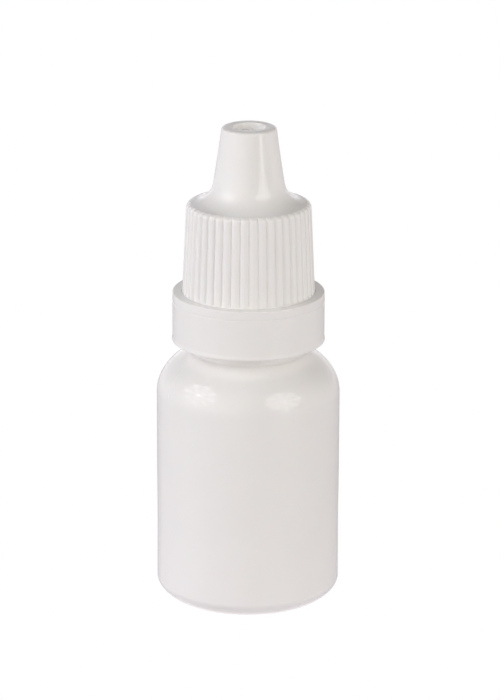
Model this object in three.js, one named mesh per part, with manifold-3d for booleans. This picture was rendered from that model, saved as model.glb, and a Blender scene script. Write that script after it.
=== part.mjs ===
// A squeeze dropper bottle: a blow-moulded bottle, a dropper plug pressed into its neck,
// a conical screw cap, and the tamper ring that stays on the neck when the cap comes off.
// Units are millimetres. +Z is up, the axis of every piece is Z, and the bottle stands on z = 0.

import * as THREE from 'three';
import { mergeVertices } from 'three/addons/utils/BufferGeometryUtils.js';
import Module from 'manifold-3d';

const wasm = await Module();
wasm.setup();

const FULL_TURN = 2 * Math.PI;
const SIDES = 40;                      // flats round every turned piece

// Bottle body
const BODY_RADIUS = 12.5;
const BODY_WALL = 0.9;
const BODY_WAIST = 0.04;               // how far the long wall is drawn in
const WAIST_Z = 12;
const HEEL_RADIAL = 4.2;               // rounding between base and wall
const HEEL_HEIGHT = 2.8;
const HEEL_POWER = 2 / 1.71;           // a little flatter than a quarter ellipse
const BASE_LAND_INNER = 6.9;           // the flat ring that the bottle stands on
const PUSH_UP = 1.2;                   // hollow under the base
const SHOULDER_START_Z = 29.46;
const SHOULDER_RADIAL = 9.85;          // the shoulder is part of an ellipse
const SHOULDER_RISE = 7.07;

// Bottle neck
const COLLAR_RADIUS = 7.8;             // plain lower neck, inside the tamper ring
const COLLAR_BORE = 6.3;
const BEAD_RADIUS = 8.7;               // bead that holds the tamper ring down
const BEAD_Z = 39.0;
const BEAD_HEIGHT = 0.6;
const NECK_RADIUS = 6.4;
const NECK_BORE = 5.3;
const NECK_START_Z = 43.0;
const RIM_Z = 53.2;
const RIM_ROUNDING = 0.25;

// Screw thread, one start, right hand
const LEAD = 3.0;
const THREAD_TURNS = 1.5;
const THREAD_START_Z = 46.0;
const THREAD_ROOT_WIDTH = 1.25;
const THREAD_CREST_WIDTH = 0.6;
const THREAD_RAMP = 4;                 // steps over which a ridge fades in and out
const THREAD_ROOT_OVERLAP = 0.3;       // how far a ridge is sunk into its wall
const NECK_THREAD_RADIUS = 7.0;
const CAP_BORE = 7.3;
const CAP_THREAD_RADIUS = 6.7;

// Dropper plug
const PLUG_GAP = 0.2;
const PLUG_SKIRT_RADIUS = 5.0;
const PLUG_SEAL_RADIUS = 5.12;
const PLUG_HOLLOW_RADIUS = 4.2;
const PLUG_BOTTOM_Z = 46.6;
const PLUG_LEAD_IN = [0.3, 0.8];        // width and height of the bevel at the foot of the skirt
const SEAL_SPREAD = 0.35;              // half the height of a sealing rib
const SEAL_DROPS = [4, 2];             // how far the sealing ribs lie under the flange
const FLANGE_RADIUS = 6.3;
const FLANGE_THICKNESS = 0.9;
const FLANGE_EDGE = 0.2;
const NOZZLE_BASE_RADIUS = 3.5;
const NOZZLE_TIP_RADIUS = 1.7;
const NOZZLE_TIP_Z = 62.9;
const NOZZLE_FILLET = 0.6;
const NOZZLE_TIP_EDGE = 0.35;
const MOUTH_RADIUS = 1.0;
const ORIFICE_RADIUS = 0.4;
const ORIFICE_LENGTH = 2.6;
const MOUTH_SLOPE = 1.4;

// Screw cap
const CAP_BOTTOM_Z = 43.5;            // a little below the ring's top edge
const CAP_TOP_Z = 66.62;
const SKIRT_TOP_Z = 56.07;
const RIB_COUNT = 44;
const RIB_DEPTH = 0.35;
const RIB_GROOVE_SHARE = 0.16;         // half a groove's width, as a share of the rib spacing
const RIB_CREST_BOTTOM = 9.03;
const RIB_CREST_TOP = 8.44;
const RIB_EDGE = 0.67;                 // rounding at the top of the ribs
const SKIRT_CORE_DEPTH = 0.45;         // how far the plain skirt lies under the crests of the ribs
const FLARE_RADIUS = 3.26;             // concave sweep from the skirt up to the hood
const FLARE_CENTRE_R = 8.05;
const FLARE_CENTRE_Z = 59.33;
const HOOD_FOOT = [4.83, 58.79];       // radius and height at the foot of the hood's side
const HOOD_WAIST = [4.26, 62.2];       // control point of the side, which is slightly hollow
const HOOD_TOP = [3.75, 66.2];
const TOP_EDGE = [0.61, 0.42];         // width and height of the rounding at the top
const DIMPLE_RADIUS = 2.16;            // round recess in the top of the hood
const DIMPLE_DEPTH = 1.0;
const GATE_RADIUS = 1.0;               // low round boss left by the gate, in the recess
const GATE_HEIGHT = 0.5;
const SMALL_EDGE = 0.15;
const HOOD_BORE_FOOT = 3.6;
const HOOD_BORE_TOP = 2.98;
const SEAL_FACE_Z = 54.7;              // inner shoulder that bears on the plug's flange
const SEAL_FACE_INNER = 4.9;
const CEILING_Z = 63.8;
const PIN_RADIUS = 0.75;               // pin that closes the plug's orifice
const PIN_TIP_RADIUS = 0.2;
const PIN_TIP_Z = 62.4;
const PIN_TAPER = 0.8;
const SKIRT_LEAD_IN = 1.0;             // bevel inside the skirt's lower edge

// Tamper ring
const RING_RADIUS = 10.34;
const RING_LIP = 0.065;                // flare at the ring's sharp lower edge
const RING_LIP_HEIGHT = 0.55;
const RING_FOOT_BEVEL = [0.03, 0.08];  // width and height
const RING_BOTTOM_Z = 36.95;
const RING_TOP_Z = 43.72;
const RING_EDGE = 0.14;
const PARTING_Z = 42.4;                // moulding step near the top of the ring
const PARTING_STEP = 0.1;
const PARTING_SWELL = 0.8;             // height over which the wall swells to the step
const RING_BORE = 9.35;
const FOOT_BORE_FLARE = 0.2;
const STEP_RADIUS = 9.18;              // shallow recess that the skirt's edge dips into
const STEP_DEPTH = 0.5;
const WEB_RADIUS = 8.3;
const WEB_THICKNESS = 0.8;
const CATCH_RADIUS = 8.15;             // inner lip, under the bead of the neck
const CATCH_BOTTOM_Z = 37.7;
const CATCH_TOP_Z = 38.7;
const CATCH_SLOPE = 0.4;
const BRIDGE_COUNT = 8;                // stubs left by the bridges that joined ring and cap
const BRIDGE_WIDTH = 0.9;
const BRIDGE_DEPTH = 0.45;
const BRIDGE_HEIGHT = 0.12;
const BRIDGE_SUNK = 0.2;               // how deep a stub is rooted in the web

const WHITE = 0xe6e2df;
const MILK_WHITE = 0xeeeae6;


// ---- turned profiles: x is the distance from the axis, y is the height ----

function point(radius, z) {
  return new THREE.Vector2(radius, z);
}

// Points of an elliptical arc between two angles, in degrees from the outward direction.
function arc(centreR, centreZ, radial, vertical, from, to, steps) {
  const points = [];
  for (let step = 0; step <= steps; step += 1) {
    const angle = THREE.MathUtils.degToRad(from + (to - from) * step / steps);
    points.push(point(centreR + radial * Math.cos(angle), centreZ + vertical * Math.sin(angle)));
  }
  return points;
}

// The rounding between the base and the wall, as part of a superellipse.
function heel(inset, steps) {
  const points = [];
  const radial = HEEL_RADIAL - inset / 2;
  const height = HEEL_HEIGHT - inset / 2;
  for (let step = 0; step <= steps; step += 1) {
    const angle = Math.PI / 2 * step / steps;
    const r = BODY_RADIUS - inset - radial + radial * Math.sin(angle) ** HEEL_POWER;
    points.push(point(r, inset + height - height * Math.cos(angle) ** HEEL_POWER));
  }
  return points;
}


// ---- solids ----

// Turns a three.js geometry into a manifold solid, leaving out triangles with no area.
function solidOf(geometry) {
  geometry.deleteAttribute('normal');
  geometry.deleteAttribute('uv');
  const merged = mergeVertices(geometry, 1e-4);
  const index = merged.index.array;
  const triangles = [];
  for (let i = 0; i < index.length; i += 3) {
    const [a, b, c] = [index[i], index[i + 1], index[i + 2]];
    if (a !== b && b !== c && c !== a) {
      triangles.push(a, b, c);
    }
  }
  return new wasm.Manifold(new wasm.Mesh({
    numProp: 3,
    vertProperties: new Float32Array(merged.attributes.position.array),
    triVerts: new Uint32Array(triangles),
  }));
}

function geometryOf(solid) {
  const mesh = solid.getMesh();
  const geometry = new THREE.BufferGeometry();
  geometry.setAttribute('position', new THREE.BufferAttribute(mesh.vertProperties, 3));
  geometry.setIndex(new THREE.BufferAttribute(mesh.triVerts, 1));
  geometry.computeVertexNormals();
  return geometry;
}

// Turns a profile about the Z axis. The profile runs up the outside and down the inside.
function turned(profile, sides = SIDES) {
  return new THREE.LatheGeometry(profile, sides).rotateX(Math.PI / 2);
}

// A thread ridge: a straight bar bent along a helix, standing out from rootRadius to crestRadius.
function threadRidge(rootRadius, crestRadius, startZ, startAngle) {
  const steps = THREAD_TURNS * SIDES;
  const outward = Math.sign(crestRadius - rootRadius);
  const sunkRoot = rootRadius - outward * THREAD_ROOT_OVERLAP;
  const bar = new THREE.BoxGeometry(1, 1, 1, steps, 1, 1);
  const position = bar.attributes.position;
  for (let i = 0; i < position.count; i += 1) {
    const along = (position.getX(i) + 0.5) * steps;
    const isCrest = position.getY(i) > 0;
    const fade = Math.min(1, (along + 0.5) / THREAD_RAMP, (steps - along + 0.5) / THREAD_RAMP);
    const crest = sunkRoot + (crestRadius - sunkRoot) * fade;
    const radius = isCrest ? crest : sunkRoot;
    const width = isCrest ? THREAD_CREST_WIDTH : THREAD_ROOT_WIDTH;
    const angle = startAngle + along / SIDES * FULL_TURN;
    const z = startZ + along / SIDES * LEAD - outward * position.getZ(i) * width;
    position.setXYZ(i, radius * Math.cos(angle), radius * Math.sin(angle), z);
  }
  return solidOf(bar);
}


// ---- bottle ----

// The shoulder from the wall up to a given radius. The inner side lies inset from the outer one.
function shoulder(endRadius, inset, steps) {
  const radial = SHOULDER_RADIAL - inset;
  const centreR = BODY_RADIUS - SHOULDER_RADIAL;
  const endAngle = THREE.MathUtils.radToDeg(Math.acos((endRadius - centreR) / radial));
  return arc(centreR, SHOULDER_START_Z, radial, SHOULDER_RISE - inset, 0, endAngle, steps);
}

function bottleOutside() {
  return [
    ...arc(0, 0, BASE_LAND_INNER, PUSH_UP, 90, 0, 4),
    ...heel(0, 6),
    point(BODY_RADIUS - BODY_WAIST, WAIST_Z),
    ...shoulder(COLLAR_RADIUS, 0, 8),
    point(COLLAR_RADIUS, BEAD_Z),
    point(BEAD_RADIUS, BEAD_Z),
    point(BEAD_RADIUS, BEAD_Z + BEAD_HEIGHT),
    point(NECK_RADIUS, NECK_START_Z),
    ...arc(NECK_RADIUS - RIM_ROUNDING, RIM_Z - RIM_ROUNDING, RIM_ROUNDING, RIM_ROUNDING, 0, 90, 2),
  ];
}

function bottleInside() {
  return [
    point(NECK_BORE, RIM_Z),
    point(NECK_BORE, NECK_START_Z - 1),
    point(COLLAR_BORE, BEAD_Z + 1),
    ...shoulder(COLLAR_BORE, BODY_WALL, 6).reverse(),
    ...heel(BODY_WALL, 4).reverse(),
    ...arc(0, BODY_WALL, BASE_LAND_INNER - BODY_WALL, PUSH_UP, 0, 90, 4),
  ];
}

function bottle() {
  const shell = solidOf(turned([...bottleOutside(), ...bottleInside()]));
  const thread = threadRidge(NECK_RADIUS, NECK_THREAD_RADIUS, THREAD_START_Z, 0);
  return shell.add(thread);
}


// ---- dropper plug ----

function dropperPlug() {
  const flangeBottom = RIM_Z + PLUG_GAP;
  const flangeTop = flangeBottom + FLANGE_THICKNESS;
  const orificeTop = NOZZLE_TIP_Z - (MOUTH_RADIUS - ORIFICE_RADIUS) * MOUTH_SLOPE;
  const orificeBottom = orificeTop - ORIFICE_LENGTH;
  const [bevelWidth, bevelHeight] = PLUG_LEAD_IN;
  const skirt = [
    point(PLUG_HOLLOW_RADIUS, PLUG_BOTTOM_Z),
    point(PLUG_SKIRT_RADIUS - bevelWidth, PLUG_BOTTOM_Z),
    point(PLUG_SKIRT_RADIUS, PLUG_BOTTOM_Z + bevelHeight),
  ];
  for (const drop of SEAL_DROPS) {
    const sealZ = flangeBottom - drop;
    skirt.push(point(PLUG_SKIRT_RADIUS, sealZ - SEAL_SPREAD));
    skirt.push(point(PLUG_SEAL_RADIUS, sealZ));
    skirt.push(point(PLUG_SKIRT_RADIUS, sealZ + SEAL_SPREAD));
  }
  const flange = [
    point(PLUG_SKIRT_RADIUS, flangeBottom),
    point(FLANGE_RADIUS, flangeBottom),
    point(FLANGE_RADIUS, flangeTop - FLANGE_EDGE),
    point(FLANGE_RADIUS - FLANGE_EDGE, flangeTop),
  ];
  const nozzle = [
    ...arc(NOZZLE_BASE_RADIUS + NOZZLE_FILLET, flangeTop + NOZZLE_FILLET,
      NOZZLE_FILLET, NOZZLE_FILLET, 270, 180, 3),
    ...arc(NOZZLE_TIP_RADIUS - NOZZLE_TIP_EDGE, NOZZLE_TIP_Z - NOZZLE_TIP_EDGE,
      NOZZLE_TIP_EDGE, NOZZLE_TIP_EDGE, 0, 90, 3),
    point(MOUTH_RADIUS, NOZZLE_TIP_Z),
    point(ORIFICE_RADIUS, orificeTop),
    point(ORIFICE_RADIUS, orificeBottom),
  ];
  const hollow = [
    point(NOZZLE_BASE_RADIUS - 1.2, flangeTop + 0.4),
    point(PLUG_HOLLOW_RADIUS, flangeBottom - 0.8),
    point(PLUG_HOLLOW_RADIUS, PLUG_BOTTOM_Z),
  ];
  return solidOf(turned([...skirt, ...flange, ...nozzle, ...hollow]));
}


// ---- screw cap ----

// The plain shell of the cap: skirt core, concave sweep, conical hood, recess and sealing pin.
function capShell() {
  const dimpleFloor = CAP_TOP_Z - DIMPLE_DEPTH;
  const [edgeWidth, edgeHeight] = TOP_EDGE;
  const sideEnds = [HOOD_FOOT, HOOD_WAIST, HOOD_TOP].map(([r, z]) => point(r, z));
  const side = new THREE.QuadraticBezierCurve(...sideEnds);
  const outside = [
    point(RIB_CREST_BOTTOM - SKIRT_CORE_DEPTH, CAP_BOTTOM_Z),
    point(RIB_CREST_TOP - SKIRT_CORE_DEPTH, SKIRT_TOP_Z - RIB_EDGE),
    ...arc(FLARE_CENTRE_R, FLARE_CENTRE_Z, FLARE_RADIUS, FLARE_RADIUS, 268, 192, 7),
    ...side.getPoints(3),
    ...arc(HOOD_TOP[0] - edgeWidth, CAP_TOP_Z - edgeHeight, edgeWidth, edgeHeight, 30, 90, 2),
    point(DIMPLE_RADIUS + SMALL_EDGE, CAP_TOP_Z),
    point(DIMPLE_RADIUS, CAP_TOP_Z - SMALL_EDGE),
    point(DIMPLE_RADIUS, dimpleFloor + SMALL_EDGE),
    point(DIMPLE_RADIUS - SMALL_EDGE, dimpleFloor),
    point(GATE_RADIUS + SMALL_EDGE, dimpleFloor),
    point(GATE_RADIUS, dimpleFloor + GATE_HEIGHT - SMALL_EDGE),
    point(GATE_RADIUS - SMALL_EDGE, dimpleFloor + GATE_HEIGHT),
    point(0, dimpleFloor + GATE_HEIGHT),
  ];
  const inside = [
    point(0, PIN_TIP_Z),
    point(PIN_TIP_RADIUS, PIN_TIP_Z),
    point(PIN_RADIUS - SMALL_EDGE, PIN_TIP_Z + PIN_TAPER),
    point(PIN_RADIUS, CEILING_Z),
    point(HOOD_BORE_TOP - 2 * SMALL_EDGE, CEILING_Z),
    point(HOOD_BORE_TOP, CEILING_Z - 2 * SMALL_EDGE),
    point(HOOD_BORE_FOOT, FLARE_CENTRE_Z),
    point(SEAL_FACE_INNER, SEAL_FACE_Z),
    point(CAP_BORE, SEAL_FACE_Z),
    point(CAP_BORE, CAP_BOTTOM_Z + SKIRT_LEAD_IN),
    point(CAP_BORE + 0.7 * SKIRT_LEAD_IN, CAP_BOTTOM_Z),
  ];
  return solidOf(turned([...outside, ...inside, outside[0]]));
}

// The ribbed band round the skirt. Every third line of a plain band is drawn in as a groove.
function ribbedBand() {
  const edge = RIB_EDGE;
  const inner = CAP_BORE + THREAD_ROOT_OVERLAP;
  const crest = z => THREE.MathUtils.mapLinear(
    z, CAP_BOTTOM_Z, SKIRT_TOP_Z, RIB_CREST_BOTTOM, RIB_CREST_TOP);
  const band = turned([
    point(inner, CAP_BOTTOM_Z),
    point(crest(CAP_BOTTOM_Z), CAP_BOTTOM_Z),
    point(crest(SKIRT_TOP_Z - edge), SKIRT_TOP_Z - edge),
    ...arc(crest(SKIRT_TOP_Z) - edge, SKIRT_TOP_Z - edge, edge, edge, 45, 90, 1),
    point(inner, SKIRT_TOP_Z),
    point(inner, CAP_BOTTOM_Z),
  ], 3 * RIB_COUNT);
  const position = band.attributes.position;
  for (let i = 0; i < position.count; i += 1) {
    const radius = Math.hypot(position.getX(i), position.getY(i));
    const spacing = Math.atan2(position.getY(i), position.getX(i)) / FULL_TURN * RIB_COUNT;
    const line = Math.round(3 * spacing);
    const rib = Math.floor(line / 3);
    const place = line - 3 * rib;
    const share = [0, RIB_GROOVE_SHARE, 1 - RIB_GROOVE_SHARE][place];
    const angle = (rib + share) / RIB_COUNT * FULL_TURN;
    const drawnIn = place === 0 && radius > inner + 0.1 ? RIB_DEPTH : 0;
    position.setXY(i, (radius - drawnIn) * Math.cos(angle), (radius - drawnIn) * Math.sin(angle));
  }
  return solidOf(band);
}

function screwCap() {
  const thread = threadRidge(CAP_BORE, CAP_THREAD_RADIUS, THREAD_START_Z, Math.PI);
  return capShell().add(ribbedBand()).add(thread);
}


// ---- tamper ring ----

function ringShell() {
  const stepZ = RING_TOP_Z - STEP_DEPTH;
  const [footWidth, footHeight] = RING_FOOT_BEVEL;
  return solidOf(turned([
    point(RING_BORE + FOOT_BORE_FLARE, RING_BOTTOM_Z),
    point(RING_RADIUS + RING_LIP - footWidth, RING_BOTTOM_Z),
    point(RING_RADIUS + RING_LIP, RING_BOTTOM_Z + footHeight),
    point(RING_RADIUS, RING_BOTTOM_Z + RING_LIP_HEIGHT),
    point(RING_RADIUS, PARTING_Z - PARTING_SWELL),
    point(RING_RADIUS + PARTING_STEP / 2, PARTING_Z),
    point(RING_RADIUS - PARTING_STEP / 2, PARTING_Z + PARTING_STEP),
    ...arc(RING_RADIUS - RING_EDGE, RING_TOP_Z - RING_EDGE, RING_EDGE, RING_EDGE, 0, 90, 2),
    point(STEP_RADIUS, RING_TOP_Z),
    point(STEP_RADIUS, stepZ),
    point(WEB_RADIUS, stepZ),
    point(WEB_RADIUS, stepZ - WEB_THICKNESS + SMALL_EDGE),
    point(WEB_RADIUS + SMALL_EDGE, stepZ - WEB_THICKNESS),
    point(RING_BORE, stepZ - WEB_THICKNESS),
    point(RING_BORE, CATCH_TOP_Z),
    point(CATCH_RADIUS + SMALL_EDGE, CATCH_TOP_Z),
    point(CATCH_RADIUS, CATCH_TOP_Z - SMALL_EDGE),
    point(CATCH_RADIUS, CATCH_BOTTOM_Z + CATCH_SLOPE),
    point(CATCH_RADIUS + CATCH_SLOPE, CATCH_BOTTOM_Z),
    point(RING_BORE, CATCH_BOTTOM_Z - CATCH_SLOPE / 2),
    point(RING_BORE + FOOT_BORE_FLARE, RING_BOTTOM_Z),
  ]));
}

function bridgeStub(number) {
  const stub = new THREE.BoxGeometry(BRIDGE_DEPTH, BRIDGE_WIDTH, BRIDGE_HEIGHT + BRIDGE_SUNK);
  const radius = (STEP_RADIUS + WEB_RADIUS) / 2;
  const centreZ = RING_TOP_Z - STEP_DEPTH + (BRIDGE_HEIGHT - BRIDGE_SUNK) / 2;
  stub.translate(radius, 0, centreZ);
  stub.rotateZ((number + 0.5) / BRIDGE_COUNT * FULL_TURN);
  return solidOf(stub);
}

function tamperRing() {
  let ring = ringShell();
  for (let number = 0; number < BRIDGE_COUNT; number += 1) {
    ring = ring.add(bridgeStub(number));
  }
  return ring;
}


// ---- assembly ----

function piece(name, solid, color, roughness) {
  const material = new THREE.MeshStandardMaterial({ color, roughness, metalness: 0 });
  const mesh = new THREE.Mesh(geometryOf(solid), material);
  mesh.name = name;
  return mesh;
}

const dropperBottle = new THREE.Group();
dropperBottle.add(
  piece('bottle', bottle(), MILK_WHITE, 0.4),
  piece('dropper_plug', dropperPlug(), MILK_WHITE, 0.4),
  piece('screw_cap', screwCap(), WHITE, 0.35),
  piece('tamper_ring', tamperRing(), WHITE, 0.35),
);

export default dropperBottle;
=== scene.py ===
"""A white polyethylene dropper bottle: squeeze bottle, dropper plug, screw cap and tamper ring.

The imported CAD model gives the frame. Each of its four pieces is rebuilt here as a fine turned
mesh on the same dimensions. Lengths in this file are millimetres until a mesh is made.
"""

import math

import bpy
import numpy as np
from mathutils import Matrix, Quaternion, Vector


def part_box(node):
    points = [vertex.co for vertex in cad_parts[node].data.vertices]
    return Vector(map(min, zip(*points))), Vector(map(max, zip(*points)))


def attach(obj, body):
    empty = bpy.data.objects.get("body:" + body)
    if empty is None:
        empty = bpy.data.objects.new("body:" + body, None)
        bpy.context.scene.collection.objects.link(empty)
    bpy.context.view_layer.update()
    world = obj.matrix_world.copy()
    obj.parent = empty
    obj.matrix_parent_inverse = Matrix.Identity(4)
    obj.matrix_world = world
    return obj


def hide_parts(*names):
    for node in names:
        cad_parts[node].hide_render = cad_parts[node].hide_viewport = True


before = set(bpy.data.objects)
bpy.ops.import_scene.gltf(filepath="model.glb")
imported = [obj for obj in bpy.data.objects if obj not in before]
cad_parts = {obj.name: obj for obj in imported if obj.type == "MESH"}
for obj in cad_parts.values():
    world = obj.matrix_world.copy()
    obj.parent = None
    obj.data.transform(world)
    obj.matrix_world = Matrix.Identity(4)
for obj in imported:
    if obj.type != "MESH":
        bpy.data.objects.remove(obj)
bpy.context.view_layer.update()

MM = 0.001
FULL_TURN = 2 * math.pi


def extent(node):
    """Half width, lowest and highest point of a CAD node, in millimetres."""
    low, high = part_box(node)
    return (high.x - low.x) / 2 / MM, low.z / MM, high.z / MM


BODY_RADIUS, BASE_Z, RIM_Z = extent("bottle")
RIB_CREST_BOTTOM, SKIRT_BOTTOM_Z, CAP_TOP_Z = extent("screw_cap")
RING_RADIUS, RING_BOTTOM_Z, RING_TOP_Z = extent("tamper_ring")
FLANGE_RADIUS, PLUG_BOTTOM_Z, NOZZLE_TIP_Z = extent("dropper_plug")

# Bottle, as in the CAD model
BODY_WALL = 0.9
BODY_WAIST = 0.04
WAIST_Z = 11.5
WAIST_SPREAD = 4.5
WAIST_START = (2.8, 5)                 # heights over which the waist sets in above the heel
WAIST_END = (26, 29)                   # heights over which it ends below the shoulder
HEEL_RADIAL = 4.2
HEEL_HEIGHT = 2.8
HEEL_POWER = 2 / 1.71
BASE_LAND_INNER = 6.9
PUSH_UP = 1.2
SHOULDER_START_Z = 29.46
SHOULDER_RADIAL = 9.85
SHOULDER_RISE = 7.07
COLLAR_RADIUS = 7.8
COLLAR_BORE = 6.3
BEAD_RADIUS = 8.7
BEAD_Z = 39.0
BEAD_HEIGHT = 0.6
NECK_RADIUS = 6.4
NECK_BORE = 5.3
NECK_START_Z = 43.0
BOTTLE_SEGMENTS = 180

# Blow-moulding marks
PARTING_ANGLE = math.radians(-151)     # direction of one parting line; the other is opposite
PARTING_HEIGHT = 0.05
PARTING_WIDTH = 0.11
PARTING_START = (1.0, 3.0)             # heights over which the line sets in at the heel
PARTING_FULL = (27, 31)                # heights over which it grows to its full height
PARTING_ON_WALL = 0.35                 # share of its height that it has below that
PARTING_STEPS = (-1.4, -0.9, -0.6, -0.4, -0.2, 0, 0.2, 0.4, 0.6, 0.9, 1.4)   # degrees
PARTING_REACH = 1.7                    # degrees on each side that only these steps divide
PINCH_LENGTH = 5.2                     # half length of the pinch-off seam across the base
PINCH_RUN_OUT = 0.8
PINCH_HEIGHT = 0.35
PINCH_WIDTH = 0.22

# Screw thread
LEAD = 3.0
THREAD_TURNS = 1.5
THREAD_START_Z = 46.0
THREAD_DEPTH = 0.6
THREAD_ROOT_HALF = 0.62
THREAD_CREST_HALF = 0.3
THREAD_FADE = math.radians(35)
CREST_ROUNDING = 0.08
CAP_BORE = 7.3

# Dropper plug
FLANGE_GAP = 0.2                       # from the rim of the neck to the flange
FLANGE_THICKNESS = 0.9
PLUG_RADIUS = 5.0
PLUG_LEAD_IN = (4.7, 0.8)              # radius at the plug's lower end, height of the lead-in
PLUG_BORE = 4.2
PLUG_END_BORE = 4.5
SEAL_RADIUS = 5.12                     # crest of the two ribs that seal in the neck
SEAL_HALF = 0.35
SEAL_DROPS = (4, 2)                    # how far below the flange the seal ribs are
NOZZLE_FOOT = 4.1
NOZZLE_FILLET = 0.6
NOZZLE_TIP = 1.35
NOZZLE_ROUNDING = 0.35
MOUTH_EDGE = 1.3
MOUTH_RADIUS = 1.0
MOUTH_DEPTH = 0.84
ORIFICE_RADIUS = 0.4
ORIFICE_DEPTH = 3.44
FUNNEL_RADIUS = 2.3
PLUG_FILLET = 0.12
PLUG_SEGMENTS = 128

# Cap
SKIRT_TOP_Z = 56.07
RIB_COUNT = 44
RIB_DEPTH = 0.28
RIB_CROWN = 0.23                       # how far a rib's own rounding falls from crest to groove
RIB_PHASE = math.radians(0.25)
RIB_CREST_TOP = 8.44
RIB_PLACES = (-0.94, -0.82, -0.62, -0.3, 0.0, 0.3, 0.62, 0.82, 0.94, 1.0)    # shares of half a rib
GROOVE_SHARPNESS = 7
PLAIN_RIM_TOP_Z = 43.72                # below this height the skirt is plain, inside the ring
SKIRT_EDGE = 0.12                      # size of the skirt's rounded lower edge
RIB_EDGE = 0.67
FLARE_RADIUS = 3.26
FLARE_CENTRE = (8.05, 59.33)
HOOD_FOOT = (4.83, 58.79)
HOOD_WAIST = (4.26, 62.2)
HOOD_TOP = (3.75, 66.2)
TOP_EDGE = (0.61, 0.42)
DIMPLE_RADIUS = 2.16
DIMPLE_DEPTH = 1.0
GATE_RADIUS = 1.0
GATE_HEIGHT = 0.5
GATE_PIT_RADIUS = 0.22
SEAL_FACE_Z = 54.7
SEAL_FACE_INNER = 4.9
CEILING_Z = 63.8
CEILING_RADIUS = 2.98
HOOD_BORE = 3.6                        # at the height of the flare's centre
PIN_RADIUS = 0.75
PIN_TIP_Z = 62.4

# Ring
PARTING_Z = 42.4
PARTING_SWELL = 0.02                   # the wall stands out a little just under the parting groove
PARTING_GROOVE = 0.04
RING_LIP = 0.065
RING_EDGE = 0.14
RING_BORE = 9.35
STEP_RADIUS = 9.06
STEP_DEPTH = 0.5
SHELF_WIDTH = 0.13                     # narrow shelf of the step, close under the skirt's edge
SHELF_GAP = 0.05
WEB_RADIUS = 8.3
WEB_THICKNESS = 0.8
CATCH_RADIUS = 8.15
CATCH_BOTTOM_Z = 37.7
CATCH_TOP_Z = 38.7
BRIDGE_COUNT = 8
BRIDGE_HEIGHT = 0.12
BRIDGE_DEPTH = (0.16, 0.26)            # half size across the web: full stub, end of its flank
BRIDGE_WIDTH = (0.35, 0.5)             # half size along the web
RING_SEGMENTS = 288

# Camera and light
VIEW_DISTANCE = 525
VIEW_ELEVATION = math.radians(17.5)
VIEW_HEIGHT = 35.23                    # height of the point the camera looks at
VIEW_ASIDE = 0.22                      # the bottle stands a little left of the middle
VIEW_ROLL = math.radians(0.19)
LENS = 198.06
DIFFUSE_BOUNCES = 12                   # white plastic keeps bouncing light in its creases
LIGHT_DISTANCE = 1000
LIGHT_RADIUS = 445
LIGHT_AIM_Z = 40
UMBRELLA_SIDES = 8
FOLD_CONTRAST = 0.4
LAMP_RADIUS = 100
LAMP_BOOST = 2.6

# Umbrellas: azimuth (0 is the camera's side, 90 the right), elevation and radiance (red, green,
# blue)
UMBRELLAS = {
    "umbrella_left": (-71, 26, (2.5, 2.5, 2.57)),
    "umbrella_right": (48, 22, (2.5, 2.45, 2.35)),
}

# Radiance of the floor under the bottle, near it and further out, as the bottle sees it
# FLOOR_NEAR, FLOOR_FAR and the radiances in WALLS come from a least-squares fit to the photo, with one
# term for each light, rounded and partly changed. The rest is given.
FLOOR_UNDER = (1.3, 1.25, 1.25)
FLOOR_NEAR = (0.53, 0.5, 0.53)
FLOOR_FAR = (0.425, 0.405, 0.42)
FLOOR_UNDER_RADIUS = 9
FLOOR_NEAR_RADIUS = 13
FLOOR_FAR_RADIUS = 60
FLOOR_ROUGHNESS = 0.12
FLOOR_SIZE = 2000
FLOOR_DROP = 0.02                      # keeps the floor clear of the bottle's standing ring

# Soft patches of light on the studio's walls: azimuth, elevation, sharpness and radiance
WALLS = {
    "left": (-90, 5, 5, (1.08, 1.05, 1.09)),
    "right": (90, 5, 5, (0.84, 0.77, 0.75)),
    "front": (0, 8, 4, (0.1, 0.07, 0.0)),
    "front_left": (-45, 8, 4, (1.29, 1.25, 1.25)),
    "back": (180, -12, 9, (1.35, 1.33, 1.37)),
    "back_left": (-145, 0, 10, (0.7, 0.68, 0.7)),
    "back_right": (145, 0, 10, (0.65, 0.62, 0.64)),
}

# White polyethylene
WHITE = (0.972, 0.96, 0.945)
PLUG_WHITE = (0.94, 0.93, 0.91)
REFRACTION = 1.5
SCATTER_WEIGHT = 0.3
SCATTER_LENGTH = 0.4                   # how far light spreads inside the plastic
SCATTER_COLORS = (1.0, 0.9, 0.8)
CLOUD_SHADE = 0.985
SPECK_SHADE = 0.72
SPECK_RARITY = (0.955, 0.96)           # only cells with a random value above this have a speck
SPECK_EDGE = (0.03, 0.06)
ROUGHNESS_SPREAD = (0.85, 1.2)
SKIN_HEIGHT = 0.001


# ---- outlines: lists of (radius, height) ----

def arc(centre, radial, vertical, start, end, steps):
    """Points of an elliptical arc between two angles in degrees, measured from outward to up."""
    angles = np.radians(np.linspace(start, end, steps + 1))
    return [(centre[0] + radial * math.cos(a), centre[1] + vertical * math.sin(a)) for a in angles]


def curve(first, control, last, steps):
    """Points of a quadratic curve."""
    share = np.linspace(0, 1, steps + 1)[:, None]
    first, control, last = np.array(first), np.array(control), np.array(last)
    points = (1 - share) ** 2 * first + 2 * share * (1 - share) * control + share ** 2 * last
    return [tuple(p) for p in points]


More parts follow.
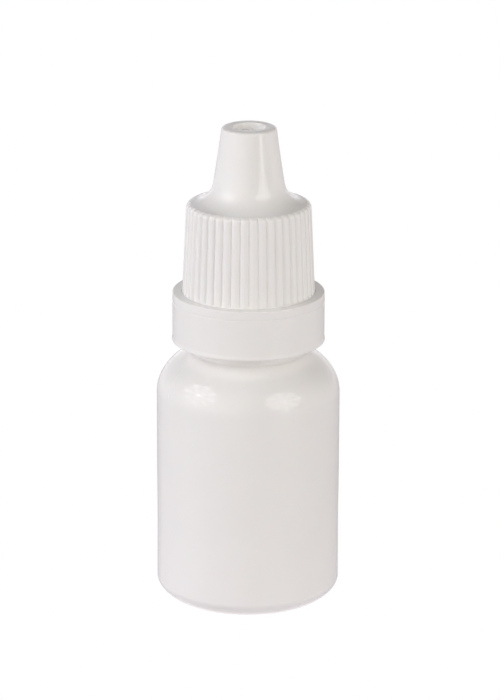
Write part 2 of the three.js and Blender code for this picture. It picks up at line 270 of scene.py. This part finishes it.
def rounded(corners, fillet, steps=3):
    """A polyline with its inner corners rounded off. The first and last point stay."""
    points = [corners[0]]
    for before, corner, after in zip(corners, corners[1:], corners[2:]):
        before, corner, after = np.array(before), np.array(corner), np.array(after)
        to_before, to_after = before - corner, after - corner
        reach = min(fillet, np.linalg.norm(to_before) * 0.45, np.linalg.norm(to_after) * 0.45)
        start = corner + to_before / np.linalg.norm(to_before) * reach
        end = corner + to_after / np.linalg.norm(to_after) * reach
        points += curve(start, corner, end, steps)
    return points + [corners[-1]]


def subdivided(points, longest):
    """The same line with no stretch longer than the given length."""
    fine = [points[0]]
    for start, end in zip(points, points[1:]):
        pieces = max(1, math.ceil(math.dist(start, end) / longest))
        for k in range(1, pieces + 1):
            fine.append(tuple(np.array(start) + (np.array(end) - np.array(start)) * k / pieces))
    return fine


# ---- turned meshes ----

def even_angles(count, phase=0.0):
    return phase + np.arange(count) * FULL_TURN / count


def turned(name, strips, angles):
    """A mesh turned about Z. Each strip is (points, shape): shape(r, z, angle) gives the radius
    and the height of every point round the axis, or is None where the surface is plain. The
    strips follow each other up the outside and down the inside. A line that neither starts nor
    ends on the axis closes on itself."""
    rows = []
    for points, shape in strips:
        radius = np.array([p[0] for p in points])[:, None] * np.ones(len(angles))
        height = np.array([p[1] for p in points])[:, None] * np.ones(len(angles))
        if shape is not None:
            radius, height = shape(radius, height, np.broadcast_to(angles, radius.shape))
        rows += list(zip(radius, height))
    vertices, faces, starts = [], [], []
    for radius, height in rows:
        starts.append(len(vertices))
        if np.all(radius < 1e-6):
            vertices.append((0.0, 0.0, float(height[0]) * MM))
        else:
            vertices += zip(radius * np.cos(angles) * MM, radius * np.sin(angles) * MM, height * MM)
    starts.append(len(vertices))
    count = len(angles)
    last = len(rows) - 1
    pairs = [(k, k + 1) for k in range(last)]
    if starts[1] - starts[0] > 1 and starts[-1] - starts[-2] > 1:
        pairs.append((last, 0))
    for lower, upper in pairs:
        lower_is_pole = starts[lower + 1] - starts[lower] == 1
        upper_is_pole = starts[upper + 1] - starts[upper] == 1
        for j in range(count):
            a, b = starts[lower] + j, starts[lower] + (j + 1) % count
            c, d = starts[upper] + (j + 1) % count, starts[upper] + j
            if lower_is_pole and not upper_is_pole:
                faces.append((starts[lower], c, d))
            elif upper_is_pole and not lower_is_pole:
                faces.append((a, b, starts[upper]))
            elif not lower_is_pole:
                faces.append((a, b, c, d))
    mesh = bpy.data.meshes.new(name)
    mesh.from_pydata(vertices, [], faces)
    mesh.shade_smooth()
    piece = bpy.data.objects.new(name, mesh)
    bpy.context.scene.collection.objects.link(piece)
    return piece


def smooth_step(low, high, value):
    share = np.clip((value - low) / (high - low), 0, 1)
    return share * share * (3 - 2 * share)


def thread_height(z, angle, start_angle):
    """How far the thread ridge stands out at a height and an angle, from 0 to its depth."""
    turn = np.mod(angle - start_angle, FULL_TURN)
    height = np.zeros_like(z)
    total = THREAD_TURNS * FULL_TURN
    for lap in range(math.ceil(THREAD_TURNS) + 1):
        along = turn + lap * FULL_TURN
        ends = smooth_step(0, THREAD_FADE, along) * smooth_step(0, THREAD_FADE, total - along)
        off_ridge = np.abs(z - THREAD_START_Z - along / FULL_TURN * LEAD)
        flank = 1 - smooth_step(THREAD_CREST_HALF - CREST_ROUNDING, THREAD_ROOT_HALF, off_ridge)
        height = np.maximum(height, THREAD_DEPTH * flank * ends)
    return height


# ---- bottle ----

def bottle_angles():
    """Even spacing, closer together at the two parting lines."""
    angles = list(even_angles(BOTTLE_SEGMENTS))
    for side in (PARTING_ANGLE, PARTING_ANGLE + math.pi):
        apart = [abs(math.remainder(angle - side, FULL_TURN)) for angle in angles]
        angles = [angle for angle, gap in zip(angles, apart) if gap > math.radians(PARTING_REACH)]
        angles += [(side + math.radians(step)) % FULL_TURN for step in PARTING_STEPS]
    return np.array(sorted(angles))


def with_parting_line(r, z, angle):
    """A fine raised line on two opposite sides, and the slight waist of the wall."""
    off_line = np.abs(np.mod(angle - PARTING_ANGLE + math.pi / 2, math.pi) - math.pi / 2) * r
    growth = PARTING_ON_WALL + (1 - PARTING_ON_WALL) * smooth_step(*PARTING_FULL, z)
    fade = smooth_step(*PARTING_START, z) * growth
    line = PARTING_HEIGHT * np.exp(-(off_line / PARTING_WIDTH) ** 2) * fade
    on_wall = smooth_step(*WAIST_START, z) * (1 - smooth_step(*WAIST_END, z))
    waist = BODY_WAIST * np.exp(-((z - WAIST_Z) / WAIST_SPREAD) ** 2) * on_wall
    room = smooth_step(0, 0.08, BODY_RADIUS - r)     # the line stays inside the body's width
    return r - waist + line * room, z


def with_pinch_seam(r, z, angle):
    """The pinch-off seam: a low ridge across the hollow base, in the parting plane."""
    along = r * np.cos(angle - PARTING_ANGLE)
    across = r * np.sin(angle - PARTING_ANGLE)
    ends = 1 - smooth_step(PINCH_LENGTH - PINCH_RUN_OUT, PINCH_LENGTH, np.abs(along))
    return r, z - PINCH_HEIGHT * np.exp(-(across / PINCH_WIDTH) ** 2) * ends


def with_neck_thread(r, z, angle):
    return r + thread_height(z, angle, 0.0), z


def heel(inset, steps):
    """The rounding between base and wall, part of a superellipse."""
    radial, height = HEEL_RADIAL - inset / 2, HEEL_HEIGHT - inset / 2
    points = []
    for angle in np.linspace(0, math.pi / 2, steps + 1):
        r = BODY_RADIUS - inset - radial + radial * math.sin(angle) ** HEEL_POWER
        points.append((r, inset + height - height * math.cos(angle) ** HEEL_POWER))
    return points


def shoulder(end_radius, inset, steps):
    centre_r = BODY_RADIUS - SHOULDER_RADIAL
    radial = SHOULDER_RADIAL - inset
    end = math.degrees(math.acos((end_radius - centre_r) / radial))
    return arc((centre_r, SHOULDER_START_Z), radial, SHOULDER_RISE - inset, 0, end, steps)


def make_bottle():
    base = subdivided(arc((0, 0), BASE_LAND_INNER - 0.25, PUSH_UP, 90, 8, 20), 0.4)
    land = [(BASE_LAND_INNER - 0.12, 0.05), (BASE_LAND_INNER, 0.0)]
    wall = subdivided(heel(0, 28) + shoulder(COLLAR_RADIUS + 0.25, 0, 40), 0.8)
    collar_foot = wall[-1]
    thread_foot = (NECK_RADIUS, THREAD_START_Z - 1)
    neck_foot = rounded([collar_foot, (COLLAR_RADIUS, collar_foot[1] + 0.2), (COLLAR_RADIUS, BEAD_Z),
                         (BEAD_RADIUS, BEAD_Z), (BEAD_RADIUS, BEAD_Z + BEAD_HEIGHT),
                         (NECK_RADIUS, NECK_START_Z), thread_foot], 0.15)
    thread_zone = subdivided([thread_foot, (NECK_RADIUS, RIM_Z - 1)], 0.1)
    rim = rounded([(NECK_RADIUS, RIM_Z - 0.9), (NECK_RADIUS, RIM_Z), (NECK_BORE, RIM_Z),
                   (NECK_BORE, RIM_Z - 1)], 0.25, 4)
    inner_shoulder = shoulder(COLLAR_BORE, BODY_WALL, 16)
    inside = rounded([(NECK_BORE, RIM_Z - 1.2), (NECK_BORE, NECK_START_Z - 1),
                      (COLLAR_BORE, BEAD_Z + 1), inner_shoulder[-1]], 0.3)
    inner_wall = subdivided(inner_shoulder[-2::-1] + heel(BODY_WALL, 10)[::-1], 1.5)
    floor = arc((0, BODY_WALL), BASE_LAND_INNER - BODY_WALL, PUSH_UP, 0, 90, 10)
    return turned("bottle_shell", [
        (base, with_pinch_seam),
        (land, None),
        (wall, with_parting_line),
        (subdivided(neck_foot, 0.5), None),
        (thread_zone[1:-1], with_neck_thread),
        (rim, None),
        (subdivided(inside, 1.0), None),
        (inner_wall, None),
        (floor, None),
    ], bottle_angles())


# ---- dropper plug ----

def make_plug():
    flange_bottom = RIM_Z + FLANGE_GAP
    flange_top = flange_bottom + FLANGE_THICKNESS
    end_radius, lead_in = PLUG_LEAD_IN
    skirt = [(end_radius, PLUG_BOTTOM_Z), (PLUG_RADIUS, PLUG_BOTTOM_Z + lead_in)]
    for drop in SEAL_DROPS:
        seal_z = flange_bottom - drop
        skirt += [(PLUG_RADIUS, seal_z - SEAL_HALF), (SEAL_RADIUS, seal_z), (PLUG_RADIUS, seal_z + SEAL_HALF)]
    skirt += [(PLUG_RADIUS, flange_bottom), (FLANGE_RADIUS, flange_bottom), (FLANGE_RADIUS, flange_top),
              (NOZZLE_FOOT, flange_top)]
    nozzle = arc((NOZZLE_FOOT, flange_top + NOZZLE_FILLET), NOZZLE_FILLET, NOZZLE_FILLET, 270, 185, 8)
    nozzle += arc((NOZZLE_TIP, NOZZLE_TIP_Z - NOZZLE_ROUNDING), NOZZLE_ROUNDING, NOZZLE_ROUNDING, 0, 90, 6)
    mouth = rounded([(MOUTH_EDGE, NOZZLE_TIP_Z), (MOUTH_RADIUS, NOZZLE_TIP_Z),
                     (ORIFICE_RADIUS, NOZZLE_TIP_Z - MOUTH_DEPTH),
                     (ORIFICE_RADIUS, NOZZLE_TIP_Z - ORIFICE_DEPTH),
                     (FUNNEL_RADIUS, flange_top + 0.4), (PLUG_BORE, flange_bottom - 0.8),
                     (PLUG_BORE, PLUG_BOTTOM_Z), (PLUG_END_BORE, PLUG_BOTTOM_Z)], PLUG_FILLET)
    outline = rounded(skirt, PLUG_FILLET) + nozzle + mouth
    return turned("plug_nozzle", [(subdivided(outline, 0.5), None)], even_angles(PLUG_SEGMENTS))


# ---- screw cap ----

def rib_angles():
    """Ten angles to a rib, closest together at its grooves. A groove lies straight in front."""
    half = FULL_TURN / RIB_COUNT / 2
    front = -math.pi / 2 + RIB_PHASE
    places = [2 * rib + 1 + place for rib in range(RIB_COUNT) for place in RIB_PLACES]
    return np.array([front + half * place for place in places])


def crest(z):
    """Radius of the ribs' crests, which lean inwards towards the top."""
    share = (z - SKIRT_BOTTOM_Z) / (SKIRT_TOP_Z - SKIRT_BOTTOM_Z)
    return RIB_CREST_BOTTOM + (RIB_CREST_TOP - RIB_CREST_BOTTOM) * share


def with_ribs(r, z, angle):
    """Rounded ribs, cut by narrow grooves that run out in the rounded top edge."""
    half = FULL_TURN / RIB_COUNT / 2
    place = np.mod(angle - (-math.pi / 2 + RIB_PHASE), 2 * half) / half - 1
    groove = RIB_CROWN * place ** 2 + (RIB_DEPTH - RIB_CROWN) * np.abs(place) ** GROOVE_SHARPNESS
    above_rim = smooth_step(PLAIN_RIM_TOP_Z - 0.1, PLAIN_RIM_TOP_Z + 0.35, z)
    plateau = RIB_CREST_TOP - RIB_EDGE
    on_edge = smooth_step(plateau, plateau + 0.4, r)
    return r - groove * above_rim * on_edge, z


def with_cap_thread(r, z, angle):
    return r - thread_height(z, angle, math.pi), z


def make_cap():
    skirt_edge = [(CAP_BORE + 0.85, SKIRT_BOTTOM_Z)]
    corner_z = SKIRT_TOP_Z - RIB_EDGE
    foot = crest(SKIRT_BOTTOM_Z)
    ribs = [(foot - SKIRT_EDGE, SKIRT_BOTTOM_Z), (foot - 0.03, SKIRT_BOTTOM_Z + 0.04),
            (foot, SKIRT_BOTTOM_Z + SKIRT_EDGE)]
    run_out = np.linspace(SKIRT_BOTTOM_Z + 0.2, PLAIN_RIM_TOP_Z + 0.5, 8)
    ribs += [(crest(z), z) for z in run_out]
    rib_foot_z = run_out[-1] + 0.1
    ribs += subdivided([(crest(rib_foot_z), rib_foot_z), (crest(corner_z), corner_z)], 1.6)
    ribs += arc((crest(corner_z) - RIB_EDGE, corner_z), RIB_EDGE, RIB_EDGE, 6, 90, 14)
    flare = arc(FLARE_CENTRE, FLARE_RADIUS, FLARE_RADIUS, 263, 190.5, 22)
    hood = curve(HOOD_FOOT, HOOD_WAIST, HOOD_TOP, 10)
    top = arc((HOOD_TOP[0] - TOP_EDGE[0], HOOD_TOP[1]), TOP_EDGE[0], CAP_TOP_Z - HOOD_TOP[1], 8, 90, 10)
    floor_z = CAP_TOP_Z - DIMPLE_DEPTH
    gate_z = floor_z + GATE_HEIGHT
    dimple = rounded([(top[-1][0] - 0.3, CAP_TOP_Z), (DIMPLE_RADIUS + 0.04, CAP_TOP_Z),
                      (DIMPLE_RADIUS - 0.06, floor_z), (GATE_RADIUS + 0.12, floor_z),
                      (GATE_RADIUS, gate_z), (GATE_PIT_RADIUS + 0.12, gate_z),
                      (GATE_PIT_RADIUS + 0.04, gate_z + 0.1), (GATE_PIT_RADIUS - 0.08, gate_z + 0.08),
                      (GATE_PIT_RADIUS - 0.12, gate_z - 0.14), (0, gate_z - 0.16)], 0.16, 4)
    ceiling = rounded([(0, PIN_TIP_Z), (0.2, PIN_TIP_Z), (PIN_RADIUS - 0.15, PIN_TIP_Z + 0.8),
                       (PIN_RADIUS, CEILING_Z), (CEILING_RADIUS, CEILING_Z), (HOOD_BORE, FLARE_CENTRE[1]),
                       (SEAL_FACE_INNER, SEAL_FACE_Z), (CAP_BORE, SEAL_FACE_Z), (CAP_BORE, RIM_Z)], 0.25)
    thread_zone = subdivided([(CAP_BORE, RIM_Z - 0.2), (CAP_BORE, SKIRT_BOTTOM_Z + 1)], 0.14)
    return turned("cap_shell", [
        (skirt_edge, None),
        (ribs, with_ribs),
        (flare, None),
        (hood, None),
        (top, None),
        (subdivided(dimple, 0.5), None),
        (subdivided(ceiling, 1.2), None),
        (thread_zone, with_cap_thread),
    ], rib_angles())


# ---- tamper ring ----

def with_bridge_stubs(r, z, angle):
    """Torn stubs of the thin bridges that joined the ring to the cap."""
    spacing = FULL_TURN / BRIDGE_COUNT
    off = np.abs(np.mod(angle, spacing) - spacing / 2) * r
    across = 1 - smooth_step(*BRIDGE_DEPTH, np.abs(r - (STEP_RADIUS + WEB_RADIUS) / 2))
    torn = 0.85 + 0.3 * np.sin(angle * 37 + r * 23)
    return r, z + BRIDGE_HEIGHT * across * (1 - smooth_step(*BRIDGE_WIDTH, off)) * torn


def make_ring():
    step_z = RING_TOP_Z - STEP_DEPTH
    web_bottom_z = step_z - WEB_THICKNESS
    radius = RING_RADIUS - RING_LIP
    below = rounded([(RING_BORE + 0.35, RING_BOTTOM_Z), (radius + 0.05, RING_BOTTOM_Z),
                     (RING_RADIUS, RING_BOTTOM_Z + 0.08), (radius, RING_BOTTOM_Z + 0.55),
                     (radius, PARTING_Z - 0.8), (radius + PARTING_SWELL, PARTING_Z),
                     (radius - PARTING_GROOVE, PARTING_Z + 0.06), (radius, PARTING_Z + 0.14),
                     (radius, RING_TOP_Z - RING_EDGE)], 0.03)
    edge = arc((radius - RING_EDGE, RING_TOP_Z - RING_EDGE), RING_EDGE, RING_EDGE, 6, 90, 8)
    shelf_z = SKIRT_BOTTOM_Z - SHELF_GAP
    top = rounded([(edge[-1][0] - 0.06, RING_TOP_Z), (STEP_RADIUS, RING_TOP_Z), (STEP_RADIUS, shelf_z),
                   (STEP_RADIUS - SHELF_WIDTH, shelf_z), (STEP_RADIUS - SHELF_WIDTH, step_z),
                   (STEP_RADIUS - SHELF_WIDTH - 0.06, step_z)], 0.03)
    web = [(r, step_z) for r in np.linspace(STEP_RADIUS - 0.22, WEB_RADIUS + 0.12, 14)]
    inside = rounded([(WEB_RADIUS + 0.1, step_z), (WEB_RADIUS, step_z), (WEB_RADIUS, web_bottom_z),
                      (RING_BORE, web_bottom_z), (RING_BORE, CATCH_TOP_Z), (CATCH_RADIUS, CATCH_TOP_Z),
                      (CATCH_RADIUS, CATCH_BOTTOM_Z + 0.4), (CATCH_RADIUS + 0.4, CATCH_BOTTOM_Z),
                      (RING_BORE, CATCH_BOTTOM_Z - 0.2), (RING_BORE + 0.2, RING_BOTTOM_Z),
                      (RING_BORE + 0.34, RING_BOTTOM_Z)], 0.1)
    return turned("collar_ring", [
        (subdivided(below, 0.6), None),
        (edge, None),
        (subdivided(top, 0.3), None),
        (web, with_bridge_stubs),
        (subdivided(inside, 0.8), None),
    ], even_angles(RING_SEGMENTS))


# ---- materials ----

def node(tree, kind, **inputs):
    """Adds a shader node and sets its named inputs, each a value or another node's output."""
    made = tree.nodes.new(kind)
    for name, value in inputs.items():
        socket = made.inputs[name.replace("_", " ")]
        if isinstance(value, bpy.types.NodeSocket):
            tree.links.new(value, socket)
        else:
            socket.default_value = value
    return made


def calculate(tree, operation, *values):
    """A Math node on numbers or other nodes' outputs."""
    made = tree.nodes.new("ShaderNodeMath")
    made.operation = operation
    for socket, value in zip(made.inputs, values):
        if isinstance(value, bpy.types.NodeSocket):
            tree.links.new(value, socket)
        else:
            socket.default_value = value
    return made.outputs["Value"]


def length(tree, vector):
    """Length of a vector that is another node's output."""
    made = node(tree, "ShaderNodeVectorMath")
    made.operation = "LENGTH"
    tree.links.new(vector, made.inputs[0])
    return made.outputs["Value"]


def blend(tree, share, low, high):
    """Mixes two colours, each three numbers or another node's output."""
    mix = node(tree, "ShaderNodeMix")
    mix.data_type = "RGBA"
    tree.links.new(share, mix.inputs["Factor"])
    for name, color in (("A", low), ("B", high)):
        if isinstance(color, bpy.types.NodeSocket):
            tree.links.new(color, mix.inputs[name])
        else:
            mix.inputs[name].default_value = (*color, 1)
    return mix.outputs["Result"]


def polyethylene(name, color, roughness, waviness, streaks):
    """Opaque white polyethylene: faint clouding, sparse specks, a fine skin and a slow ripple."""
    material = bpy.data.materials.new(name)
    material.use_nodes = True
    tree = material.node_tree
    shader = tree.nodes["Principled BSDF"]
    place = node(tree, "ShaderNodeTexCoord").outputs["Object"]

    cloud = node(tree, "ShaderNodeTexNoise", Vector=place, Scale=160.0, Detail=3.0)
    tint = node(tree, "ShaderNodeMapRange", Value=cloud.outputs["Fac"], From_Min=0.3, From_Max=0.7,
                To_Min=0.0, To_Max=1.0)
    clouded = blend(tree, tint.outputs["Result"], [c * CLOUD_SHADE for c in color], color)

    cells = node(tree, "ShaderNodeTexVoronoi", Vector=place, Scale=420.0)
    speck = node(tree, "ShaderNodeMapRange", Value=cells.outputs["Distance"], From_Min=SPECK_EDGE[0],
                 From_Max=SPECK_EDGE[1], To_Min=1.0, To_Max=0.0)
    random = node(tree, "ShaderNodeSeparateColor", Color=cells.outputs["Color"]).outputs["Red"]
    chosen = node(tree, "ShaderNodeMapRange", Value=random, From_Min=SPECK_RARITY[0],
                  From_Max=SPECK_RARITY[1])
    amount = calculate(tree, "MULTIPLY", speck.outputs["Result"], chosen.outputs["Result"])
    speckled = blend(tree, amount, clouded, [c * SPECK_SHADE for c in color])
    tree.links.new(speckled, shader.inputs["Base Color"])

    wear = node(tree, "ShaderNodeTexNoise", Vector=place, Scale=700.0, Detail=4.0)
    smoothest, roughest = ROUGHNESS_SPREAD
    rough = node(tree, "ShaderNodeMapRange", Value=wear.outputs["Fac"], From_Min=0.3, From_Max=0.7,
                 To_Min=roughness * smoothest, To_Max=roughness * roughest)
    tree.links.new(rough.outputs["Result"], shader.inputs["Roughness"])

    stretched = node(tree, "ShaderNodeMapping", Vector=place)
    stretched.inputs["Scale"].default_value = (1, 1, streaks)
    ripple = node(tree, "ShaderNodeTexNoise", Vector=stretched.outputs["Vector"], Scale=260.0,
                  Detail=2.0)
    skin = node(tree, "ShaderNodeTexNoise", Vector=place, Scale=900.0, Detail=1.0)
    slow = node(tree, "ShaderNodeBump", Height=ripple.outputs["Fac"], Strength=1.0,
                Distance=waviness * MM)
    fine = node(tree, "ShaderNodeBump", Height=skin.outputs["Fac"], Strength=1.0,
                Distance=SKIN_HEIGHT * MM, Normal=slow.outputs["Normal"])
    tree.links.new(fine.outputs["Normal"], shader.inputs["Normal"])

    shader.inputs["IOR"].default_value = REFRACTION
    shader.inputs["Subsurface Weight"].default_value = SCATTER_WEIGHT
    shader.inputs["Subsurface Radius"].default_value = SCATTER_COLORS
    shader.inputs["Subsurface Scale"].default_value = SCATTER_LENGTH * MM
    return material


# ---- studio ----

def make_camera():
    data = bpy.data.cameras.new("camera")
    data.lens = LENS
    camera = bpy.data.objects.new("camera", data)
    bpy.context.scene.collection.objects.link(camera)
    target = Vector((VIEW_ASIDE, 0, VIEW_HEIGHT)) * MM
    back = Vector((0, -math.cos(VIEW_ELEVATION), math.sin(VIEW_ELEVATION)))
    camera.location = target + back * VIEW_DISTANCE * MM
    level = (target - camera.location).to_track_quat("-Z", "Y")
    camera.rotation_euler = (level @ Quaternion((0, 0, 1), VIEW_ROLL)).to_euler()
    data.clip_start = 0.01
    bpy.context.scene.camera = camera


def only_camera_sees(tree, seen, otherwise):
    """A shader that looks like seen to the camera and like otherwise to every other ray."""
    path = node(tree, "ShaderNodeLightPath")
    mix = node(tree, "ShaderNodeMixShader", Fac=path.outputs["Is Camera Ray"])
    tree.links.new(otherwise, mix.inputs[1])
    tree.links.new(seen, mix.inputs[2])
    return mix.outputs["Shader"]


def fade_out(tree, distance, start, end):
    """1 up to the start distance and 0 from the end distance, both in millimetres."""
    share = node(tree, "ShaderNodeMapRange", Value=distance, From_Min=start * MM, From_Max=end * MM,
                 To_Min=1.0, To_Max=0.0)
    return share.outputs["Result"]


def make_floor():
    """White to the camera. To the bottle it glows, brightest right under it, with a slight gloss."""
    bpy.ops.mesh.primitive_circle_add(vertices=96, radius=FLOOR_SIZE * MM, fill_type="NGON",
                                      location=(0, 0, -FLOOR_DROP * MM))
    floor = bpy.context.object
    floor.name = "floor"
    material = bpy.data.materials.new("floor_white")
    material.use_nodes = True
    tree = material.node_tree
    tree.nodes.clear()
    white = node(tree, "ShaderNodeEmission", Color=(1, 1, 1, 1), Strength=1.0)
    distance = length(tree, node(tree, "ShaderNodeTexCoord").outputs["Object"])
    under = fade_out(tree, distance, FLOOR_UNDER_RADIUS, FLOOR_NEAR_RADIUS)
    near = fade_out(tree, distance, FLOOR_NEAR_RADIUS, FLOOR_FAR_RADIUS)
    color = blend(tree, near, FLOOR_FAR, blend(tree, under, FLOOR_NEAR, FLOOR_UNDER))
    bounce = node(tree, "ShaderNodeEmission", Color=color, Strength=1.0)
    gloss = node(tree, "ShaderNodeBsdfPrincipled", Base_Color=(0, 0, 0, 1), Roughness=FLOOR_ROUGHNESS,
                 IOR=REFRACTION)
    glossy_floor = node(tree, "ShaderNodeAddShader")
    tree.links.new(bounce.outputs["Emission"], glossy_floor.inputs[0])
    tree.links.new(gloss.outputs["BSDF"], glossy_floor.inputs[1])
    surface = only_camera_sees(tree, white.outputs["Emission"], glossy_floor.outputs["Shader"])
    out = node(tree, "ShaderNodeOutputMaterial")
    tree.links.new(surface, out.inputs["Surface"])
    floor.data.materials.append(material)


def facing(azimuth, elevation):
    """Unit vector from the bottle towards an azimuth and elevation in degrees."""
    az, el = math.radians(azimuth), math.radians(elevation)
    return Vector((math.cos(el) * math.sin(az), -math.cos(el) * math.cos(az), math.sin(el)))


def make_world():
    """White to the camera. To the bottle it is a studio with soft patches of light round it."""
    world = bpy.data.worlds.new("studio")
    bpy.context.scene.world = world
    world.use_nodes = True
    tree = world.node_tree
    tree.nodes.clear()
    direction = node(tree, "ShaderNodeTexCoord").outputs["Generated"]
    studio = node(tree, "ShaderNodeBackground", Color=(0, 0, 0, 1)).outputs["Background"]
    for azimuth, elevation, sharpness, color in WALLS.values():
        towards = node(tree, "ShaderNodeVectorMath")
        towards.operation = "DOT_PRODUCT"
        tree.links.new(direction, towards.inputs[0])
        towards.inputs[1].default_value = facing(azimuth, elevation)
        in_front = calculate(tree, "MAXIMUM", towards.outputs["Value"], 0.0)
        lobe = calculate(tree, "POWER", in_front, sharpness)
        patch = node(tree, "ShaderNodeBackground", Color=(*color, 1), Strength=lobe)
        both = node(tree, "ShaderNodeAddShader")
        tree.links.new(studio, both.inputs[0])
        tree.links.new(patch.outputs["Background"], both.inputs[1])
        studio = both.outputs["Shader"]
    white = node(tree, "ShaderNodeBackground", Color=(1, 1, 1, 1), Strength=1.0)
    surface = only_camera_sees(tree, white.outputs["Background"], studio)
    out = node(tree, "ShaderNodeOutputWorld")
    tree.links.new(surface, out.inputs["Surface"])


def umbrella_material(name, color):
    """Glow of a white umbrella: even cloth with creased spokes, and the lamp in its middle."""
    material = bpy.data.materials.new(name)
    material.use_nodes = True
    tree = material.node_tree
    tree.nodes.clear()
    place = node(tree, "ShaderNodeTexCoord").outputs["Object"]
    axes = node(tree, "ShaderNodeSeparateXYZ", Vector=place)
    angle = calculate(tree, "ARCTAN2", axes.outputs["Y"], axes.outputs["X"])
    distance = length(tree, place)
    wave = calculate(tree, "COSINE", calculate(tree, "MULTIPLY", angle, float(UMBRELLA_SIDES)))
    cloth = node(tree, "ShaderNodeMapRange", Value=wave, From_Min=-1.0, From_Max=1.0,
                 To_Min=1 - FOLD_CONTRAST, To_Max=1 + FOLD_CONTRAST)
    lamp = node(tree, "ShaderNodeMapRange", Value=distance, From_Min=0.0, From_Max=LAMP_RADIUS * MM,
                To_Min=LAMP_BOOST, To_Max=1.0)
    power = calculate(tree, "MULTIPLY", cloth.outputs["Result"], lamp.outputs["Result"])
    glow = node(tree, "ShaderNodeEmission", Color=(*color, 1), Strength=power)
    out = node(tree, "ShaderNodeOutputMaterial")
    tree.links.new(glow.outputs["Emission"], out.inputs["Surface"])
    return material


def make_umbrella(name, azimuth, elevation, color):
    """An eight-sided studio umbrella that faces the bottle."""
    bpy.ops.mesh.primitive_circle_add(vertices=UMBRELLA_SIDES, radius=LIGHT_RADIUS * MM,
                                      fill_type="TRIFAN")
    umbrella = bpy.context.object
    umbrella.name = name
    direction = facing(azimuth, elevation)
    umbrella.location = Vector((0, 0, LIGHT_AIM_Z * MM)) + direction * LIGHT_DISTANCE * MM
    umbrella.rotation_euler = (-direction).to_track_quat("Z", "Y").to_euler()
    umbrella.data.materials.append(umbrella_material(name + "_glow", color))
    umbrella.visible_camera = False


# ---- the scene ----

make_camera()
make_floor()
make_world()
for name, (azimuth, elevation, color) in UMBRELLAS.items():
    make_umbrella(name, azimuth, elevation, color)

# CAD node, body, slot, mesh, and material with its roughness, waviness and streaks
PIECES = [
    ("bottle", "bottle body", "bottle_white", make_bottle(),
     polyethylene("bottle_polyethylene", WHITE, 0.06, 0.010, 0.2)),
    ("dropper_plug", "bottle body", "plug_white", make_plug(),
     polyethylene("plug_polyethylene", PLUG_WHITE, 0.25, 0.004, 1.0)),
    ("screw_cap", "cap body", "cap_white", make_cap(),
     polyethylene("cap_polyethylene", WHITE, 0.08, 0.004, 0.5)),
    ("tamper_ring", "ring body", "ring_white", make_ring(),
     polyethylene("ring_polyethylene", WHITE, 0.09, 0.005, 0.3)),
]
for cad_node, body, slot, piece, material in PIECES:
    piece.data.materials.append(material)
    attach(piece, body)
    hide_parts(cad_node)

bpy.context.scene.view_settings.view_transform = "Standard"
bpy.context.scene.cycles.diffuse_bounces = DIFFUSE_BOUNCES
